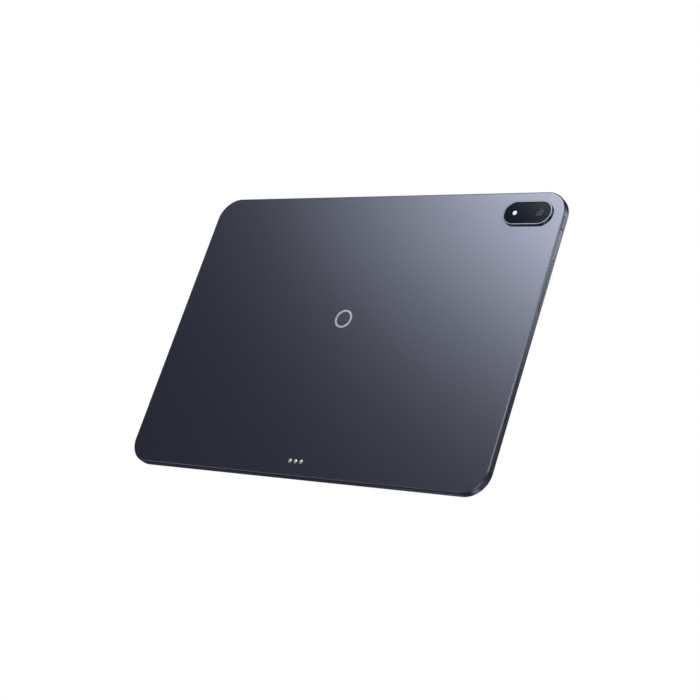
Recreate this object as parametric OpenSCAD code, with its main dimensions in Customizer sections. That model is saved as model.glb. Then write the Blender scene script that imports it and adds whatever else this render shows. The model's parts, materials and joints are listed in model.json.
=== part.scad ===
// Tablet computer: an aluminium body with screen, batteries, boards, speakers, cameras and keys.
// Every piece is drawn back down, as it lies on a bench: x across, y up the tablet, and z the
// depth from the flat rear face towards the screen. upright() then stands it on its long edge,
// with the screen facing -Y and the origin at the centre of the rear face.

/* [Body] */
// Width of the body, along its long side
body_w = 289.6; // [241:0.1:348]
// Height of the body, along its short side
body_h = 209.7; // [174:0.1:252]
// Thickness of the body, without the camera rise
body_t = 5.97; // [5.9:0.01:7.4]
// Radius of the four corners of the outline
corner_r = 16.5; // [14:0.5:20]
// Radius of the rounding round the rear face
rear_round = 1.1; // [0.6:0.05:1.4]
// Radius of the rounding round the screen side
front_round = 0.7; // [0.4:0.05:0.8]
// Thickness of the rear wall
rear_wall = 0.9; // [0.7:0.05:1.1]
// Thickness of the side walls
side_wall = 2.3; // [1.9:0.05:2.8]
// Thickness of the rim round the cover glass
rim = 1.05; // [0.85:0.05:1.3]

/* [Screen] */
// Thickness of the cover glass
glass_t = 0.6; // [0.5:0.05:0.75]
// Thickness of the display panel
panel_t = 0.5; // [0.4:0.05:0.6]
// Thickness of the backlight unit
backlight_t = 0.62; // [0.5:0.02:0.75]
// Thickness of the pressed plate behind the screen
plate_t = 0.3; // [0.25:0.05:0.4]
// Distance from the edge of the body to the edge of the display panel
bezel = 6.8; // [6.2:0.1:8.2]
// Thickness of the adhesive under the cover glass
glue_t = 0.12; // [0.1:0.01:0.15]

/* [Rear camera] */
// Length of the camera island
island_w = 36; // [34:0.1:43.5]
// Width of the camera island
island_h = 17.7; // [17:0.1:21.5]
// Rise of the island above the rear face
island_rise = 1.4; // [1.3:0.05:1.7]
// Width of the metal rim round the camera window
island_rim = 0.95; // [0.8:0.05:1.15]
// Distance from the side edge of the body to the middle of the island
island_in = 26.45; // [24:0.05:31]
// Distance from the top edge of the body to the middle of the island
island_down = 16.15; // [14.5:0.05:20]
// Distance from the middle of the island to the camera lens
lens_off = 8.95; // [8.3:0.05:10.1]
// Distance from the middle of the island to the flash
flash_off = 9.35; // [8:0.05:10.7]
// Diameter of the flash lens
flash_d = 3.1; // [2.9:0.1:4]
// Thickness of the camera window
window_t = 0.5; // [0.4:0.05:0.6]

/* [Keys] */
// Length of the power key
power_len = 10.1; // [8.4:0.1:12.1]
// Length of each volume key
volume_len = 11.4; // [9.5:0.1:12]
// Width of the keys, across the edge of the body
key_w = 2.3; // [1.9:0.1:2.4]
// How far a key stands out of the edge
key_proud = 0.45; // [0.38:0.01:0.6]
// Travel of a key when it is pressed
key_travel = 0.25; // [0.2:0.01:0.3]
// Distance from the top edge of the body to the middle of the power key
power_down = 22.35; // [21:0.05:27]
// Distance from the side edge of the body to the middle of the nearer volume key
volume_in = 33; // [30:0.5:40]
// Distance between the middles of the two volume keys
volume_pitch = 14.5; // [14.5:0.5:18]
// Depth of the middle of every key below the rear face
key_z = 2.45; // [2.3:0.05:2.55]

/* [Speakers and ports] */
// Number of holes in each speaker group
hole_count = 15; // [11:1:15]
// Distance between neighbouring speaker holes
hole_pitch = 2.48; // [2.1:0.01:2.5]
// Diameter of a speaker hole
hole_d = 1.3; // [1:0.05:1.6]
// Distance from the middle of the side to the middle of a speaker group
speaker_off = 38.2; // [36:0.1:39]
// Depth of the middle of the speaker holes below the rear face
port_z = 2.7; // [2.4:0.05:2.9]
// Diameter of a microphone hole
mic_d = 0.9; // [0.7:0.05:1.1]
// Width of the opening inside the USB socket
usb_w = 8.34; // [8.34:0.01:8.34]
// Height of the opening inside the USB socket
usb_h = 2.56; // [2.56:0.01:2.56]
// Thickness of the USB socket's sheet-metal shell
usb_sheet = 0.3; // [0.25:0.01:0.3]
// Depth of the middle of the USB socket below the rear face
usb_z = 2.65; // [2.6:0.01:2.66]

/* [Rear face] */
// Outer diameter of the ring inlay
inlay_d = 13.5; // [11:0.1:16.5]
// Width of the ring inlay's band
inlay_w = 1.5; // [1.2:0.1:1.8]
// Distance from the middle of the rear face up to the middle of the inlay
inlay_up = 9.5; // [8.5:0.1:12]
// Diameter of a dock contact
contact_d = 3.05; // [2.5:0.05:3.7]
// Distance between neighbouring dock contacts
contact_pitch = 4.5; // [4.4:0.05:5.4]
// Distance from the bottom edge of the body to the dock contacts
contact_up = 10.65; // [9.5:0.05:12.8]

/* [Hidden] */
$fn = 96;
arc_steps = 10;

// Clearances
fit_gap = 0.05;      // a piece seated in its pocket
key_gap = 0.12;      // a key in its slot
cut = 1;             // how far a cutter runs past a face

// Depths of the layers, from the rear face to the screen
glass_z = body_t - glass_t;
glue_z = glass_z - glue_t;
panel_z = glass_z - panel_t;
backlight_z = panel_z - backlight_t;
plate_z = backlight_z - plate_t;
battery_z = rear_wall + 0.1;
battery_t = plate_z - battery_z - 0.5;
board_t = 0.6;
board_z = rear_wall + 0.6;
board_top = board_z + board_t;
spreader_t = 0.25;
spreader_z = plate_z - spreader_t - 0.2;
flex_t = 0.15;

// Half sizes of the body and of its hollows
half_w = body_w / 2;
half_h = body_h / 2;
hollow_w = half_w - side_wall;
hollow_h = half_h - side_wall;
hollow_r = corner_r - side_wall;
pocket_w = half_w - rim;
pocket_h = half_h - rim;
pocket_r = corner_r - rim;
panel_w = half_w - bezel;
panel_h = half_h - bezel;

// Rear camera
island_x = -half_w + island_in;
island_y = half_h - island_down;
lens_x = island_x - lens_off;
flash_x = island_x + flash_off;
island_sink = 0.3;
spigot_wall = 0.8;
spigot_inset = 1.2;
island_r = island_h / 2;
island_run = island_w / 2 - island_r;
window_r = island_r - island_rim;
spigot_r = island_r - spigot_inset;
throat_r = spigot_r - spigot_wall;
window_sink = 0.15;
window_z = -island_rise + window_sink;
window_back = window_z + window_t;
holder_z = window_back + 0.25;
camera_box = 8.2;
camera_base = 12;
camera_base_z = rear_wall + 0.15;
camera_front = 0.3;
barrel_d = 7.4;
barrel_z = window_back + 0.35;
lens_d = 5.2;
led_w = 2;
led_t = 0.4;
led_board_w = 4.6;
led_board_t = 0.4;

// Keys: distances inwards from the outer face of the wall
power_y = half_h - power_down;
volume_up_x = -half_w + volume_in;
volume_down_x = volume_up_x + volume_pitch;
flange_t = 0.5;
flange_extra = 0.4;
flange_end = 1;
flange_in = side_wall + fit_gap;
nub_d = 1.2;
nub_t = 0.6;
dome_in = flange_in + flange_t + nub_t + key_travel + 0.1;
dome_t = 0.3;
switch_t = 0.5;
switch_len = 4;
flex_in = dome_in + dome_t + switch_t;
bracket_in = flex_in + flex_t;
bracket_t = 0.4;
bracket_len = 7;
strip_w = 2.6;

// Speakers
speaker_box_w = 22;
speaker_box_h = max(37, (hole_count - 1) * hole_pitch + 2.2);
mesh_t = 0.15;
speaker_edge = hollow_w - mesh_t - 0.1;

// USB socket
usb_len = 7;
usb_sink = 0.3;
usb_out_w = usb_w + 2 * usb_sheet;
usb_out_h = usb_h + 2 * usb_sheet;
usb_end = half_w - usb_sink - usb_len;
tongue_w = 6.7;
tongue_t = 0.7;
tongue_len = 4.5;
usb_plug_t = 0.9;
usb_board_half = 12;
usb_board_x = hollow_w - 20;

// Batteries and boards
side_column = 24.5;
channel = 12;
bottom_band = 16;
board_band = 45;
cell_gap = 1.5;
cell_x = hollow_w - side_column - channel;
cell_low = -hollow_h + bottom_band;
cell_high = hollow_h - board_band;
board_x0 = island_x + island_w / 2 + 3;
board_x1 = hollow_w - 34;
board_y0 = cell_high + 6;
board_y1 = hollow_h - 3.3;
ribbon_x = cell_x + 3;
ribbon_w = 8;

// Shield cans and chips on the main board
can_wall = 0.15;
can_t = 1.2;
can_y0 = board_y0 + 4;
can_y1 = board_y1 - 5;
can_a = [board_x0 + 6, board_x0 + 66];
can_b = [board_x0 + 78, board_x1 - 56];
chip_t = 0.85;
display_tail = [board_x1 - 46, board_x1 - 16];
tail_y = board_y1 - 3.6;

// Board screws
boss_d = 3.4;
screw_d = 1.1;
screw_head_d = 2.4;
screw_head_t = 0.5;
screw_bite = 0.4;
screw_clear = 0.2;
screw_in = 3;
screw_at = [
    [board_x0 + screw_in, board_y0 + screw_in], [board_x0 + screw_in, board_y1 - 6],
    [board_x0 + 72, (board_y0 + board_y1) / 2], [board_x1 - 52, board_y0 + screw_in],
    [board_x1 - screw_in, board_y0 + screw_in], [board_x1 - screw_in, board_y1 - 6]
];

// Screen-side camera and sensor, in the bezel above the panel
selfie_w = bezel - side_wall - 0.5;
selfie_y = (panel_h + hollow_h) / 2;
selfie_barrel_d = 3;
sensor_x = 9;
notch = [-selfie_w / 2 - 0.3, sensor_x + 1.6];

// Microphones and antennas along the top edge
mic_x = [-52, 60];
mic_can = [3.2, 2.3, 1];
boot_w = 2.6;
antenna_len = 30;
antenna_y0 = hollow_h - 2.9;
antenna_y1 = hollow_h - 0.2;

// Dock
contact_y = -half_h + contact_up;
collar_d = contact_d + 0.7;
contact_t = 1.6;
dock_w = 2 * contact_pitch + collar_d + 5;
dock_h = collar_d + 4.6;
magnet_len = 26;
magnet_h = 9;
inlay_t = 0.3;

// ---- Outlines and helpers ----

// Points along an arc, from angle a0 to a1
function arc(cx, cy, r, a0, a1, steps = arc_steps) =
    [for (i = [0:steps]) let (a = a0 + (a1 - a0) * i / steps) [cx + r * cos(a), cy + r * sin(a)]];

// Rectangle with rounded corners, given by its half sizes
function rounded(hw, hh, r) = concat(
    arc(hw - r, hh - r, r, 0, 90), arc(r - hw, hh - r, r, 90, 180),
    arc(r - hw, r - hh, r, 180, 270), arc(hw - r, r - hh, r, 270, 360));

// Pill with round ends, given by the half length of its straight run and its end radius
function pill(run, r) = concat(
    arc(run, 0, r, -90, 90, 2 * arc_steps), arc(-run, 0, r, 90, 270, 2 * arc_steps));

// Cross-section of the body's edge, from the middle of a corner outwards, by depth
function edge_profile() = concat(
    [[0, 0]],
    arc(corner_r - rear_round, rear_round, rear_round, -90, 0),
    arc(corner_r - front_round, body_t - front_round, front_round, 0, 90),
    [[0, body_t]]);

// Cross-section of the camera ring: rim, window seat, throat and spigot
function ring_profile() = concat(
    [[island_r, island_sink], [spigot_r, island_sink], [spigot_r, rear_wall],
     [throat_r, rear_wall], [throat_r, window_back], [window_r, window_back],
     [window_r, -island_rise + 0.15]],
    arc(window_r + 0.15, -island_rise + 0.15, 0.15, 180, 270, 3),
    arc(island_r - 0.5, -island_rise + 0.5, 0.5, -90, 0, 6));

module upright() rotate([90, 0, 0]) children();

module layer(z0, z1) translate([0, 0, z0]) linear_extrude(z1 - z0) children();

module block(x, y, z) translate([x[0], y[0], z[0]])
    cube([x[1] - x[0], y[1] - y[0], z[1] - z[0]]);

module rod(x, y, z, d) translate([x, y, z[0]]) cylinder(d = d, h = z[1] - z[0]);

// A profile carried round a rounded rectangle of half sizes hw and hh, about corners of radius r
module carried(hw, hh, r) {
    for (i = [0:3]) {
        a = i % 2 == 0 ? hw : hh;
        b = i % 2 == 0 ? hh : hw;
        rotate([0, 0, 90 * i]) translate([a - r, b - r, 0])
            rotate_extrude(angle = 90) children();
        rotate([0, 0, 90 * i]) translate([a - r, b - r, 0])
            rotate([90, 0, 0]) linear_extrude(2 * (b - r)) children();
    }
}

// A profile carried round a pill whose straight run is 2 * run long
module carried_pill(run) {
    for (a = [0, 180]) rotate([0, 0, a]) {
        translate([run, 0, 0]) rotate([0, 0, -90]) rotate_extrude(angle = 180) children();
        translate([-run, 0, 0]) rotate([90, 0, 90]) linear_extrude(2 * run) children();
    }
}

// Places a piece on the side edge at the power key: z points out of the edge, y along it
module at_power() translate([-half_w, power_y, key_z]) rotate([0, -90, 0]) children();

// Places a piece on the top edge, at x
module at_top(x) translate([x, half_h, key_z]) rotate([-90, 0, 0]) rotate([0, 0, 90]) children();

module at_island() translate([island_x, island_y, 0]) children();

// ---- Housing ----

module rounded_body() {
    carried(half_w, half_h, corner_r) polygon(edge_profile());
    block([corner_r - half_w, half_w - corner_r], [corner_r - half_h, half_h - corner_r],
        [0, body_t]);
}

module hollows() {
    layer(rear_wall, body_t + cut) polygon(rounded(hollow_w, hollow_h, hollow_r));
    layer(plate_z, body_t + cut) polygon(rounded(pocket_w, pocket_h, pocket_r));
}

module bosses() for (p = screw_at) rod(p[0], p[1], [rear_wall - fit_gap, board_z], boss_d);

// A slot for a key, through the wall
module key_slot(len) layer(-side_wall - cut, cut) rotate([0, 0, 90])
    polygon(pill((len - key_w) / 2, key_w / 2 + key_gap));

module speaker_holes() for (side = [-1, 1], group = [-1, 1], i = [0:hole_count - 1])
    translate([side * (half_w - side_wall / 2), group * speaker_off
        + (i - (hole_count - 1) / 2) * hole_pitch, port_z])
        rotate([0, 90, 0]) cylinder(d = hole_d, h = side_wall + 2 * cut, center = true, $fn = 24);

module mic_holes() for (x = mic_x) translate([x, half_h - side_wall / 2, port_z])
    rotate([90, 0, 0]) cylinder(d = mic_d, h = side_wall + 2 * cut, center = true, $fn = 24);

module usb_opening() translate([half_w - side_wall - cut, 0, usb_z]) rotate([90, 0, 90])
    linear_extrude(side_wall + 2 * cut)
    polygon(pill((usb_out_w - usb_out_h) / 2, usb_out_h / 2 + fit_gap));

module island_opening() at_island() {
    layer(-cut, island_sink) polygon(pill(island_run, island_r + fit_gap));
    layer(-cut, rear_wall + cut) polygon(pill(island_run, spigot_r + fit_gap));
}

module inlay_groove() translate([0, inlay_up, 0]) difference() {
    rod(0, 0, [-cut, inlay_t], inlay_d + 2 * fit_gap);
    rod(0, 0, [-2 * cut, inlay_t + cut], inlay_d - 2 * inlay_w - 2 * fit_gap);
}

module collar_holes() for (i = [-1:1])
    rod(i * contact_pitch, contact_y, [-cut, rear_wall + cut], collar_d);

module rear_housing() upright() color("#434a61") difference() {
    union() {
        difference() {
            rounded_body();
            hollows();
        }
        bosses();
    }
    for (p = screw_at) rod(p[0], p[1], [board_z - 0.6 - screw_bite, board_z + cut], screw_d);
    at_power() key_slot(power_len);
    for (x = [volume_up_x, volume_down_x]) at_top(x) key_slot(volume_len);
    speaker_holes();
    mic_holes();
    usb_opening();
    island_opening();
    inlay_groove();
    collar_holes();
}

// ---- Rear camera ----

module camera_ring() upright() color("#7f8799") at_island()
    carried_pill(island_run) polygon(ring_profile());

module camera_window() upright() color("#12141a") at_island() difference() {
    layer(window_z, window_back) polygon(pill(island_run, window_r - fit_gap));
    rod(flash_off, 0, [window_z - cut, window_back + cut], flash_d + 2 * fit_gap);
}

module camera_holder() upright() color("#1c1d20") at_island() difference() {
    layer(holder_z, rear_wall) polygon(pill(island_run, throat_r - fit_gap));
    block([-lens_off - camera_box / 2 - fit_gap, -lens_off + camera_box / 2 + fit_gap],
        [-camera_box / 2 - fit_gap, camera_box / 2 + fit_gap],
        [camera_front - fit_gap, rear_wall + cut]);
    rod(-lens_off, 0, [holder_z - cut, camera_front], barrel_d + 2 * fit_gap);
    rod(flash_off, 0, [holder_z - cut, 0], flash_d + 2 * fit_gap);
    block([flash_off - led_board_w / 2 - fit_gap, flash_off + led_board_w / 2 + fit_gap],
        [-led_board_w / 2 - fit_gap, led_board_w / 2 + fit_gap], [-0.2, rear_wall + cut]);
}

module camera_module() upright() color("#26272b") translate([lens_x, island_y, 0]) difference() {
    union() {
        block([-camera_box / 2, camera_box / 2], [-camera_box / 2, camera_box / 2],
            [camera_front, camera_base_z + fit_gap]);
        block([-camera_base / 2, camera_base / 2], [-camera_base / 2, camera_base / 2],
            [camera_base_z, plate_z - 0.35]);
        rod(0, 0, [barrel_z, camera_front + fit_gap], barrel_d);
    }
    rod(0, 0, [barrel_z - cut, barrel_z + 0.6], lens_d + 2 * fit_gap);
}

module camera_lens() upright() color("#27324a") translate([lens_x, island_y, 0])
    intersection() {
        rod(0, 0, [barrel_z - cut, barrel_z + 0.6], lens_d);
        translate([0, 0, barrel_z + 10]) sphere(r = 10);
    }

module flash_led() upright() color("#e8d98a") translate([flash_x, island_y, 0]) {
    block([-led_w / 2, led_w / 2], [-led_w / 2, led_w / 2], [-led_t, 0]);
    block([-led_board_w / 2, led_board_w / 2], [-led_board_w / 2, led_board_w / 2],
        [0, led_board_t]);
}

module flash_lens() upright() color("#f4f2ea")
    rod(flash_x, island_y, [window_z, -led_t], flash_d);

// ---- Rear face ----

module ring_inlay() upright() color("#b9bec9") translate([0, inlay_up, 0]) difference() {
    rod(0, 0, [0, inlay_t], inlay_d);
    rod(0, 0, [-cut, inlay_t + cut], inlay_d - 2 * inlay_w);
}

module dock_contacts() upright() color("#cfd2d8") for (i = [-1:1])
    rod(i * contact_pitch, contact_y, [0, contact_t], contact_d);

module dock_insulator() upright() color("#22242a") difference() {
    union() {
        block([-dock_w / 2, dock_w / 2], [contact_y - dock_h / 2, contact_y + dock_h / 2],
            [rear_wall, board_top]);
        for (i = [-1:1]) rod(i * contact_pitch, contact_y, [0, rear_wall + fit_gap],
            collar_d - 2 * fit_gap);
    }
    for (i = [-1:1]) rod(i * contact_pitch, contact_y, [-cut, contact_t], contact_d);
}

module dock_magnets() upright() color("#9a9ca3") for (side = [-1, 1], n = [0, 1]) {
    near = dock_w / 2 + 3 + n * (magnet_len + 6);
    x = side > 0 ? [near, near + magnet_len] : [-near - magnet_len, -near];
    block(x, [contact_y - magnet_h / 2, contact_y + magnet_h / 2], [battery_z, board_top - 0.1]);
}

module dock_flex() upright() color("#b5702f") {
    block([-dock_w / 2, ribbon_x + ribbon_w], [contact_y, contact_y + dock_h / 2],
        [board_top, board_top + flex_t]);
    block([ribbon_x, ribbon_x + ribbon_w], [contact_y, 6 - usb_board_half],
        [board_top, board_top + flex_t]);
    block([ribbon_x, usb_board_x + 3], [2 - usb_board_half, 6 - usb_board_half],
        [board_top, board_top + flex_t]);
}

// ---- Screen ----

module mid_plate() upright() color("#a3a7ad") difference() {
    layer(plate_z, plate_z + plate_t)
        polygon(rounded(pocket_w - 0.1, pocket_h - 0.1, pocket_r - 0.1));
    block([notch[0], notch[1]], [panel_h, hollow_h], [plate_z - cut, body_t]);
    block([display_tail[0] - 1, display_tail[1] + 1], [tail_y - 1, tail_y + 1.5],
        [plate_z - cut, body_t]);
    block([usb_end - 1, half_w], [-usb_out_w / 2 - 0.5, usb_out_w / 2 + 0.5],
        [plate_z - cut, body_t]);
}

module backlight_unit() upright() color("#d9dce2")
    block([-panel_w, panel_w], [-panel_h, panel_h], [backlight_z, panel_z]);

module display_panel() upright() color("#0d0f14")
    block([-panel_w, panel_w], [-panel_h, panel_h], [panel_z, glass_z]);

// A flat frame round the panel, with a notch for the camera and the sensor
module screen_border(z0, z1, gap) difference() {
    layer(z0, z1) polygon(rounded(pocket_w - 0.1, pocket_h - 0.1, pocket_r - 0.1));
    block([-panel_w - gap, panel_w + gap], [-panel_h - gap, panel_h + gap], [z0 - cut, z1 + cut]);
    block([notch[0], notch[1]], [panel_h, hollow_h], [z0 - cut, z1 + cut]);
}

module display_frame() upright() color("#1a1b1f") screen_border(backlight_z, glue_z, 0.2);

module glass_adhesive() upright() color("#2b2b2e") screen_border(glue_z, glass_z, 0.6);

module cover_glass() upright() color("#0a0b0e") layer(glass_z, body_t)
    polygon(rounded(pocket_w - 0.1, pocket_h - 0.1, pocket_r - 0.1));

module display_flex() upright() color("#b5702f") {
    block(display_tail, [tail_y - 7, tail_y + flex_t], [board_top, board_top + flex_t]);
    block(display_tail, [tail_y, tail_y + flex_t], [board_top, backlight_z]);
}

// ---- Power ----

module battery(x0, x1) upright() color("#2e3036") layer(battery_z, battery_z + battery_t)
    translate([(x0 + x1) / 2, (cell_low + cell_high) / 2])
    polygon(rounded((x1 - x0) / 2, (cell_high - cell_low) / 2, 2));

module battery_left() battery(-cell_x, -cell_gap / 2);

module battery_right() battery(cell_gap / 2, cell_x);

module battery_board() upright() color("#1f5a3a")
    block([-cell_x * 0.6, cell_x * 0.6], [cell_high + 0.4, cell_high + 4.4],
        [battery_z, battery_z + 1]);

// ---- Main board ----

module main_board() upright() color("#1d4d38") difference() {
    block([board_x0, board_x1], [board_y0, board_y1], [board_z, board_top]);
    for (p = screw_at) rod(p[0], p[1], [board_z - cut, board_top + cut], screw_d + screw_clear);
}

module processor() upright() color("#2a2b2f")
    block([can_a[0] + 24, can_a[0] + 39], [can_y0 + 7, can_y0 + 22],
        [board_top, board_top + chip_t]);

module memory_chips() upright() color("#34353a") {
    block([can_a[0] + 6, can_a[0] + 18], [can_y0 + 8, can_y0 + 20],
        [board_top, board_top + chip_t]);
    block([can_b[0] + 4, can_b[0] + 15.5], [can_y0 + 2, can_y0 + 15],
        [board_top, board_top + chip_t]);
    block([can_b[0] + 5, can_b[0] + 13], [can_y0 + 17, can_y0 + 24],
        [board_top, board_top + chip_t]);
}

module shield_can(x) difference() {
    block(x, [can_y0, can_y1], [board_top, board_top + can_t]);
    block([x[0] + can_wall, x[1] - can_wall], [can_y0 + can_wall, can_y1 - can_wall],
        [board_top - cut, board_top + can_t - can_wall]);
}

module board_shields() upright() color("#c3c5c9") {
    shield_can(can_a);
    shield_can(can_b);
}

module board_screws() upright() color("#8d9096") for (p = screw_at) {
    rod(p[0], p[1], [board_z - 0.5 - screw_bite, board_top + fit_gap], screw_d - 0.04);
    rod(p[0], p[1], [board_top, board_top + screw_head_t], screw_head_d);
}

module heat_spreader() upright() color("#3c3d40")
    block([-cell_x * 0.85, cell_x * 0.85], [cell_low + 30, can_y1 + 1],
        [spreader_z, spreader_z + spreader_t]);

// ---- USB socket ----

module usb_section(run_extra, r) rotate([90, 0, 90]) linear_extrude(run_extra)
    polygon(pill((usb_w - usb_h) / 2, r));

module usb_board() upright() color("#1d4d38") difference() {
    block([usb_board_x, hollow_w - 0.5], [-usb_board_half, usb_board_half], [board_z, board_top]);
    block([usb_end - 0.4, half_w], [-usb_out_w / 2 - 0.2, usb_out_w / 2 + 0.2],
        [board_z - cut, board_top + cut]);
}

module usb_shell() upright() color("#a9acb3") translate([usb_end, 0, usb_z]) difference() {
    usb_section(usb_len, usb_out_h / 2);
    translate([-cut, 0, 0]) usb_section(usb_len + 2 * cut, usb_h / 2);
}

module usb_tongue() upright() color("#17181b") translate([usb_end, 0, usb_z]) {
    usb_section(usb_plug_t, usb_h / 2);
    block([usb_plug_t - fit_gap, usb_plug_t + tongue_len], [-tongue_w / 2, tongue_w / 2],
        [-tongue_t / 2, tongue_t / 2]);
}

module usb_flex() upright() color("#b5702f") {
    block([ribbon_x, ribbon_x + ribbon_w], [usb_board_half - 6, board_y0 + 11],
        [board_top, board_top + flex_t]);
    block([ribbon_x, usb_board_x + 3], [usb_board_half - 6, usb_board_half - 2],
        [board_top, board_top + flex_t]);
    block([board_x1 - 8, ribbon_x + ribbon_w], [board_y0 + 7, board_y0 + 11],
        [board_top, board_top + flex_t]);
}

// ---- Speakers ----

// A sealed speaker box, with its cone on the screen side and its mouth at the holes
module speaker(side, group) upright() color("#1b1c20")
    translate([side * (speaker_edge - speaker_box_w / 2), group * speaker_off, 0]) difference() {
        layer(battery_z, plate_z - 0.15)
            polygon(rounded(speaker_box_w / 2, speaker_box_h / 2, 1.5));
        layer(plate_z - 0.65, plate_z) polygon(rounded(7, 13, 5));
        block([side * speaker_box_w / 2 - 2, side * speaker_box_w / 2 + 2],
            [2 - speaker_box_h / 2, speaker_box_h / 2 - 2], [port_z - 0.75, port_z + 0.75]);
    }

module speaker_upper_left() speaker(-1, 1);

module speaker_upper_right() speaker(1, 1);

module speaker_lower_left() speaker(-1, -1);

module speaker_lower_right() speaker(1, -1);

module speaker_meshes() upright() color("#2c2d31") for (side = [-1, 1], group = [-1, 1])
    translate([side * (hollow_w - mesh_t / 2), group * speaker_off, port_z])
        cube([mesh_t, speaker_box_h, 2], center = true);

// ---- Small pieces in the bezel and along the top edge ----

module front_camera() upright() color("#232428") translate([0, selfie_y, 0]) {
    block([-selfie_w / 2, selfie_w / 2], [-selfie_w / 2, selfie_w / 2],
        [board_top + 0.4, backlight_z + 0.3]);
    rod(0, 0, [backlight_z, glass_z - 0.12], selfie_barrel_d);
}

module front_camera_lens() upright() color("#25304a")
    rod(0, selfie_y, [glass_z - 0.12, glass_z - 0.02], selfie_barrel_d - 0.8);

module light_sensor() upright() color("#3a3340")
    block([sensor_x - 1, sensor_x + 1], [selfie_y - 0.7, selfie_y + 0.7],
        [plate_z + 0.2, glass_z - 0.1]);

module microphones() upright() color("#b9b08f") for (x = mic_x)
    block([x - mic_can[0] / 2, x + mic_can[0] / 2], [board_y1 - mic_can[1], board_y1],
        [board_top, board_top + mic_can[2]]);

module microphone_boots() upright() color("#18191b") for (x = mic_x) difference() {
    block([x - boot_w / 2, x + boot_w / 2], [board_y1, hollow_h], [port_z - 1, port_z + 1]);
    translate([x, board_y1 - cut, port_z]) rotate([-90, 0, 0])
        cylinder(d = mic_d, h = hollow_h - board_y1 + 2 * cut, $fn = 24);
}

module antenna(x) upright() color("#2a2c31")
    block([x, x + antenna_len], [antenna_y0, antenna_y1], [battery_z, plate_z - 0.15]);

module antenna_left() antenna(-44);

module antenna_right() antenna(68);

// ---- Keys ----

// A key: head through the wall, flange behind it, and the nub that meets the switch
module key(len) color("#4d546b") {
    layer(-flange_in, key_proud - 0.2) rotate([0, 0, 90])
        polygon(pill((len - key_w) / 2, key_w / 2));
    layer(key_proud - 0.25, key_proud) rotate([0, 0, 90])
        polygon(pill((len - key_w) / 2, key_w / 2 - 0.15));
    layer(-flange_in - flange_t, -flange_in) rotate([0, 0, 90])
        polygon(pill((len - key_w) / 2 + flange_end, (key_w + flange_extra) / 2));
    rod(0, 0, [-flange_in - flange_t - nub_t, -flange_in - flange_t + fit_gap], nub_d);
}

module power_button() upright() at_power() key(power_len);

module volume_up_button() upright() at_top(volume_up_x) key(volume_len);

module volume_down_button() upright() at_top(volume_down_x) key(volume_len);

// A dome switch on the key flex
module dome_switch() color("#c9c2a4") {
    translate([0, 0, -dome_in - dome_t]) cylinder(r1 = 1.1, r2 = 0.7, h = dome_t);
    block([-1.2, 1.2], [-switch_len / 2, switch_len / 2],
        [-dome_in - dome_t - switch_t, -dome_in - dome_t]);
}

module power_switch() upright() at_power() dome_switch();

module volume_switches() upright() for (x = [volume_up_x, volume_down_x]) at_top(x) dome_switch();

module key_bracket() color("#9fa3aa")
    block([-strip_w / 2, strip_w / 2], [-bracket_len / 2, bracket_len / 2],
        [-bracket_in - bracket_t, -bracket_in]);

module key_brackets() upright() {
    at_power() key_bracket();
    for (x = [volume_up_x, volume_down_x]) at_top(x) key_bracket();
}

// A strip that follows the inside of the wall, round the corner from the power key to the
// volume keys
module key_flex() upright() color("#b5702f") intersection() {
    layer(key_z - strip_w / 2, key_z + strip_w / 2) difference() {
        polygon(rounded(half_w - flex_in, half_h - flex_in, corner_r - flex_in));
        polygon(rounded(half_w - bracket_in, half_h - bracket_in, corner_r - bracket_in));
    }
    block([-half_w, volume_down_x + bracket_len], [power_y - bracket_len, half_h], [0, body_t]);
}

rear_housing();
camera_ring();
camera_window();
camera_holder();
camera_module();
camera_lens();
flash_led();
flash_lens();
ring_inlay();
dock_contacts();
dock_insulator();
dock_magnets();
dock_flex();
mid_plate();
backlight_unit();
display_panel();
display_frame();
glass_adhesive();
cover_glass();
display_flex();
battery_left();
battery_right();
battery_board();
main_board();
processor();
memory_chips();
board_shields();
board_screws();
heat_spreader();
usb_board();
usb_shell();
usb_tongue();
usb_flex();
speaker_upper_left();
speaker_upper_right();
speaker_lower_left();
speaker_lower_right();
speaker_meshes();
front_camera();
front_camera_lens();
light_sensor();
microphones();
microphone_boots();
antenna_left();
antenna_right();
key_flex();
key_brackets();
power_switch();
volume_switches();
power_button();
volume_up_button();
volume_down_button();
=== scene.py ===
"""A slim aluminium tablet computer: its visible surfaces, finishes, studio light and camera.

Lengths are in metres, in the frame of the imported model: the screen faces -Y, the flat rear face
lies at Y = 0 and +Z is the long edge that carries the volume keys. Inner surfaces are drawn by
depth, which is -Y.
"""
import json
import math

import bmesh
import bpy
import numpy as np
from mathutils import Matrix, Vector
from mathutils.geometry import delaunay_2d_cdt


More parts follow.
